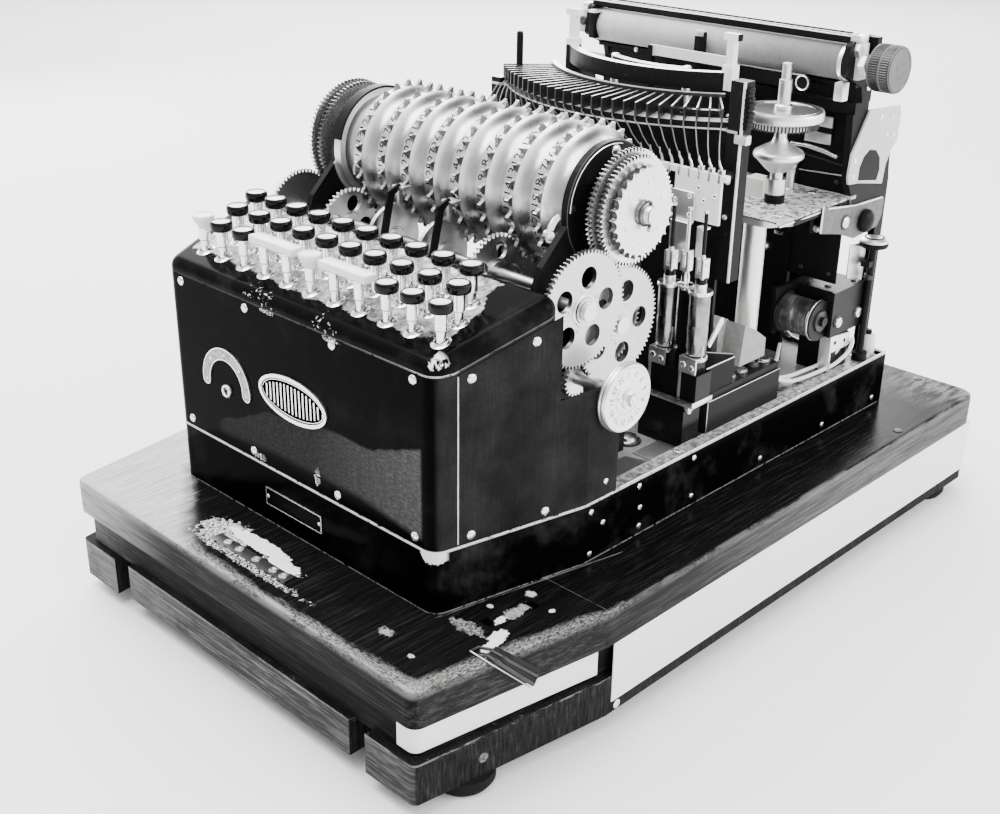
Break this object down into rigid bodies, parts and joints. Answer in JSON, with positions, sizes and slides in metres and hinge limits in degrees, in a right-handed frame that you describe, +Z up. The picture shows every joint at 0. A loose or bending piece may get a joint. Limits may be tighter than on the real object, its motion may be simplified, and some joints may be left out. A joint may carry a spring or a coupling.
{
  "type": "rotor cipher machine",
  "caption": "Printing rotor cipher machine: sloping black key deck, row of bright toothed rotors, gear train, lever fan and platen carriage on a dark wooden base.",
  "frame": {"origin": "bottom centre of the whole object's box, at the level of the feet's undersides", "axes": "+X to the machine's right as seen by its operator, +Y from the key deck to the carriage, +Z up"},
  "size_m": [0.436, 0.663, 0.422],
  "materials": {
    "dark_wood": "worn dark stain",
    "foot_rubber": "matte",
    "black_enamel": "gloss black enamel",
    "black_frame": "satin black",
    "steel": "satin",
    "bright_plate": "satin",
    "nickel": "satin nickel plate",
    "black_key": "gloss",
    "light_key": "gloss",
    "coil_black": "gloss black",
    "insulator": "matte",
    "platen_rubber": "worn gray"
  },
  "bodies": {
    "base": {"wood_top_board": "dark_wood", "wood_lower_frame": "dark_wood", "rubber_feet": "foot_rubber", "base_tray": "black_enamel", "key_housing": "black_enamel", "key_deck_cover": "black_enamel", "key_guide_plate": "steel", "trim_plates": "bright_plate", "cover_screws": "steel", "rotor_frame": "black_frame", "print_unit_frame": "black_frame", "type_lever_fan": "steel", "solenoid_pair": "coil_black", "terminal_strip": "insulator", "electromagnet": "coil_black"},
    "key_01": {"key_01": "black_key"},
    "key_02": {"key_02": "black_key"},
    "key_03": {"key_03": "black_key"},
    "bar_key_04": {"bar_key_04": "light_key"},
    "light_key_05": {"light_key_05": "light_key"},
    "bar_key_06": {"bar_key_06": "light_key"},
    "key_07": {"key_07": "black_key"},
    "key_08": {"key_08": "black_key"},
    "light_key_09": {"light_key_09": "light_key"},
    "key_10": {"key_10": "black_key"},
    "key_11": {"key_11": "black_key"},
    "key_12": {"key_12": "black_key"},
    "key_13": {"key_13": "black_key"},
    "key_14": {"key_14": "black_key"},
    "key_15": {"key_15": "black_key"},
    "key_16": {"key_16": "black_key"},
    "key_17": {"key_17": "black_key"},
    "key_18": {"key_18": "black_key"},
    "key_19": {"key_19": "black_key"},
    "key_20": {"key_20": "black_key"},
    "key_21": {"key_21": "black_key"},
    "key_22": {"key_22": "black_key"},
    "key_23": {"key_23": "black_key"},
    "key_24": {"key_24": "black_key"},
    "key_25": {"key_25": "black_key"},
    "key_26": {"key_26": "black_key"},
    "key_27": {"key_27": "black_key"},
    "key_28": {"key_28": "black_key"},
    "key_29": {"key_29": "black_key"},
    "rotor_1": {"rotor_1": "nickel"},
    "rotor_2": {"rotor_2": "nickel"},
    "rotor_3": {"rotor_3": "nickel"},
    "rotor_4": {"rotor_4": "nickel"},
    "rotor_5": {"rotor_5": "nickel"},
    "rotor_6": {"rotor_6": "nickel"},
    "rotor_7": {"rotor_7": "nickel"},
    "rotor_8": {"rotor_8": "nickel"},
    "rotor_shaft_gears": {"rotor_shaft_gears": "nickel"},
    "idler_gear_rear": {"idler_gear_rear": "nickel"},
    "idler_gear_front": {"idler_gear_front": "nickel"},
    "hand_wheel": {"hand_wheel": "nickel"},
    "stepping_shaft": {"stepping_shaft": "nickel"},
    "carriage_frame": {"carriage_frame": "black_frame"},
    "platen_roller": {"platen_roller": "platen_rubber"},
    "ribbon_spindle": {"ribbon_spindle": "nickel"}
  },
  "joints": [
    {"name": "key_01_press", "type": "slide", "parent": "base", "child": "key_01", "axis": [0, 0, 1], "range_m": [-0.007, 0], "stiffness_N_per_m": 60, "springref_m": 0.01},
    {"name": "key_02_press", "type": "slide", "parent": "base", "child": "key_02", "axis": [0, 0, 1], "range_m": [-0.007, 0], "stiffness_N_per_m": 60, "springref_m": 0.01},
    {"name": "key_03_press", "type": "slide", "parent": "base", "child": "key_03", "axis": [0, 0, 1], "range_m": [-0.007, 0], "stiffness_N_per_m": 60, "springref_m": 0.01},
    {"name": "bar_key_04_press", "type": "slide", "parent": "base", "child": "bar_key_04", "axis": [0, 0, 1], "range_m": [-0.007, 0], "stiffness_N_per_m": 60, "springref_m": 0.01},
    {"name": "light_key_05_press", "type": "slide", "parent": "base", "child": "light_key_05", "axis": [0, 0, 1], "range_m": [-0.007, 0], "stiffness_N_per_m": 60, "springref_m": 0.01},
    {"name": "bar_key_06_press", "type": "slide", "parent": "base", "child": "bar_key_06", "axis": [0, 0, 1], "range_m": [-0.007, 0], "stiffness_N_per_m": 60, "springref_m": 0.01},
    {"name": "key_07_press", "type": "slide", "parent": "base", "child": "key_07", "axis": [0, 0, 1], "range_m": [-0.007, 0], "stiffness_N_per_m": 60, "springref_m": 0.01},
    {"name": "key_08_press", "type": "slide", "parent": "base", "child": "key_08", "axis": [0, 0, 1], "range_m": [-0.007, 0], "stiffness_N_per_m": 60, "springref_m": 0.01},
    {"name": "light_key_09_press", "type": "slide", "parent": "base", "child": "light_key_09", "axis": [0, 0, 1], "range_m": [-0.007, 0], "stiffness_N_per_m": 60, "springref_m": 0.01},
    {"name": "key_10_press", "type": "slide", "parent": "base", "child": "key_10", "axis": [0, 0, 1], "range_m": [-0.007, 0], "stiffness_N_per_m": 60, "springref_m": 0.01},
    {"name": "key_11_press", "type": "slide", "parent": "base", "child": "key_11", "axis": [0, 0, 1], "range_m": [-0.007, 0], "stiffness_N_per_m": 60, "springref_m": 0.01},
    {"name": "key_12_press", "type": "slide", "parent": "base", "child": "key_12", "axis": [0, 0, 1], "range_m": [-0.007, 0], "stiffness_N_per_m": 60, "springref_m": 0.01},
    {"name": "key_13_press", "type": "slide", "parent": "base", "child": "key_13", "axis": [0, 0, 1], "range_m": [-0.007, 0], "stiffness_N_per_m": 60, "springref_m": 0.01},
    {"name": "key_14_press", "type": "slide", "parent": "base", "child": "key_14", "axis": [0, 0, 1], "range_m": [-0.007, 0], "stiffness_N_per_m": 60, "springref_m": 0.01},
    {"name": "key_15_press", "type": "slide", "parent": "base", "child": "key_15", "axis": [0, 0, 1], "range_m": [-0.007, 0], "stiffness_N_per_m": 60, "springref_m": 0.01},
    {"name": "key_16_press", "type": "slide", "parent": "base", "child": "key_16", "axis": [0, 0, 1], "range_m": [-0.007, 0], "stiffness_N_per_m": 60, "springref_m": 0.01},
    {"name": "key_17_press", "type": "slide", "parent": "base", "child": "key_17", "axis": [0, 0, 1], "range_m": [-0.007, 0], "stiffness_N_per_m": 60, "springref_m": 0.01},
    {"name": "key_18_press", "type": "slide", "parent": "base", "child": "key_18", "axis": [0, 0, 1], "range_m": [-0.007, 0], "stiffness_N_per_m": 60, "springref_m": 0.01},
    {"name": "key_19_press", "type": "slide", "parent": "base", "child": "key_19", "axis": [0, 0, 1], "range_m": [-0.007, 0], "stiffness_N_per_m": 60, "springref_m": 0.01},
    {"name": "key_20_press", "type": "slide", "parent": "base", "child": "key_20", "axis": [0, 0, 1], "range_m": [-0.007, 0], "stiffness_N_per_m": 60, "springref_m": 0.01},
    {"name": "key_21_press", "type": "slide", "parent": "base", "child": "key_21", "axis": [0, 0, 1], "range_m": [-0.007, 0], "stiffness_N_per_m": 60, "springref_m": 0.01},
    {"name": "key_22_press", "type": "slide", "parent": "base", "child": "key_22", "axis": [0, 0, 1], "range_m": [-0.007, 0], "stiffness_N_per_m": 60, "springref_m": 0.01},
    {"name": "key_23_press", "type": "slide", "parent": "base", "child": "key_23", "axis": [0, 0, 1], "range_m": [-0.007, 0], "stiffness_N_per_m": 60, "springref_m": 0.01},
    {"name": "key_24_press", "type": "slide", "parent": "base", "child": "key_24", "axis": [0, 0, 1], "range_m": [-0.007, 0], "stiffness_N_per_m": 60, "springref_m": 0.01},
    {"name": "key_25_press", "type": "slide", "parent": "base", "child": "key_25", "axis": [0, 0, 1], "range_m": [-0.007, 0], "stiffness_N_per_m": 60, "springref_m": 0.01},
    {"name": "key_26_press", "type": "slide", "parent": "base", "child": "key_26", "axis": [0, 0, 1], "range_m": [-0.007, 0], "stiffness_N_per_m": 60, "springref_m": 0.01},
    {"name": "key_27_press", "type": "slide", "parent": "base", "child": "key_27", "axis": [0, 0, 1], "range_m": [-0.007, 0], "stiffness_N_per_m": 60, "springref_m": 0.01},
    {"name": "key_28_press", "type": "slide", "parent": "base", "child": "key_28", "axis": [0, 0, 1], "range_m": [-0.007, 0], "stiffness_N_per_m": 60, "springref_m": 0.01},
    {"name": "key_29_press", "type": "slide", "parent": "base", "child": "key_29", "axis": [0, 0, 1], "range_m": [-0.007, 0], "stiffness_N_per_m": 60, "springref_m": 0.01},
    {"name": "rotor_1_spin", "type": "hinge", "parent": "base", "child": "rotor_1", "pos_m": [-0.0805, -0.0815, 0.3295], "axis": [1, 0, 0], "continuous": true},
    {"name": "rotor_2_spin", "type": "hinge", "parent": "base", "child": "rotor_2", "pos_m": [-0.0546, -0.0815, 0.3295], "axis": [1, 0, 0], "continuous": true},
    {"name": "rotor_3_spin", "type": "hinge", "parent": "base", "child": "rotor_3", "pos_m": [-0.0287, -0.0815, 0.3295], "axis": [1, 0, 0], "continuous": true},
    {"name": "rotor_4_spin", "type": "hinge", "parent": "base", "child": "rotor_4", "pos_m": [-0.0028, -0.0815, 0.3295], "axis": [1, 0, 0], "continuous": true},
    {"name": "rotor_5_spin", "type": "hinge", "parent": "base", "child": "rotor_5", "pos_m": [0.0231, -0.0815, 0.3295], "axis": [1, 0, 0], "continuous": true},
    {"name": "rotor_6_spin", "type": "hinge", "parent": "base", "child": "rotor_6", "pos_m": [0.049, -0.0815, 0.3295], "axis": [1, 0, 0], "continuous": true},
    {"name": "rotor_7_spin", "type": "hinge", "parent": "base", "child": "rotor_7", "pos_m": [0.0749, -0.0815, 0.3295], "axis": [1, 0, 0], "continuous": true},
    {"name": "rotor_8_spin", "type": "hinge", "parent": "base", "child": "rotor_8", "pos_m": [0.1008, -0.0815, 0.3295], "axis": [1, 0, 0], "continuous": true},
    {"name": "rotor_shaft_spin", "type": "hinge", "parent": "base", "child": "rotor_shaft_gears", "pos_m": [0, -0.0815, 0.3295], "axis": [1, 0, 0], "continuous": true},
    {"name": "idler_rear_spin", "type": "hinge", "parent": "base", "child": "idler_gear_rear", "pos_m": [0.13, -0.0875, 0.24942], "axis": [1, 0, 0], "continuous": true},
    {"name": "idler_front_spin", "type": "hinge", "parent": "base", "child": "idler_gear_front", "pos_m": [0.141, -0.13118, 0.27212], "axis": [1, 0, 0], "continuous": true},
    {"name": "hand_wheel_spin", "type": "hinge", "parent": "base", "child": "hand_wheel", "pos_m": [0.15, -0.11736, 0.21417], "axis": [1, 0, 0], "continuous": true},
    {"name": "stepping_shaft_spin", "type": "hinge", "parent": "base", "child": "stepping_shaft", "pos_m": [0, -0.13746, 0.28154], "axis": [1, 0, 0], "continuous": true},
    {"name": "carriage_slide", "type": "slide", "parent": "base", "child": "carriage_frame", "axis": [1, 0, 0], "range_m": [-0.06, 0.06]},
    {"name": "platen_spin", "type": "hinge", "parent": "carriage_frame", "child": "platen_roller", "pos_m": [0, 0.1605, 0.398], "axis": [1, 0, 0], "continuous": true},
    {"name": "ribbon_spindle_spin", "type": "hinge", "parent": "base", "child": "ribbon_spindle", "pos_m": [0.118, 0.1225, 0.35], "axis": [0, 0, 1], "continuous": true}
  ],
  "couplings": [
    {"joint": "idler_front_spin", "follows": "rotor_shaft_spin", "ratio": -0.91667},
    {"joint": "idler_rear_spin", "follows": "rotor_shaft_spin", "ratio": -0.97297},
    {"joint": "hand_wheel_spin", "follows": "rotor_shaft_spin", "ratio": 2.742},
    {"joint": "stepping_shaft_spin", "follows": "rotor_shaft_spin", "ratio": -1.4815}
  ]
}
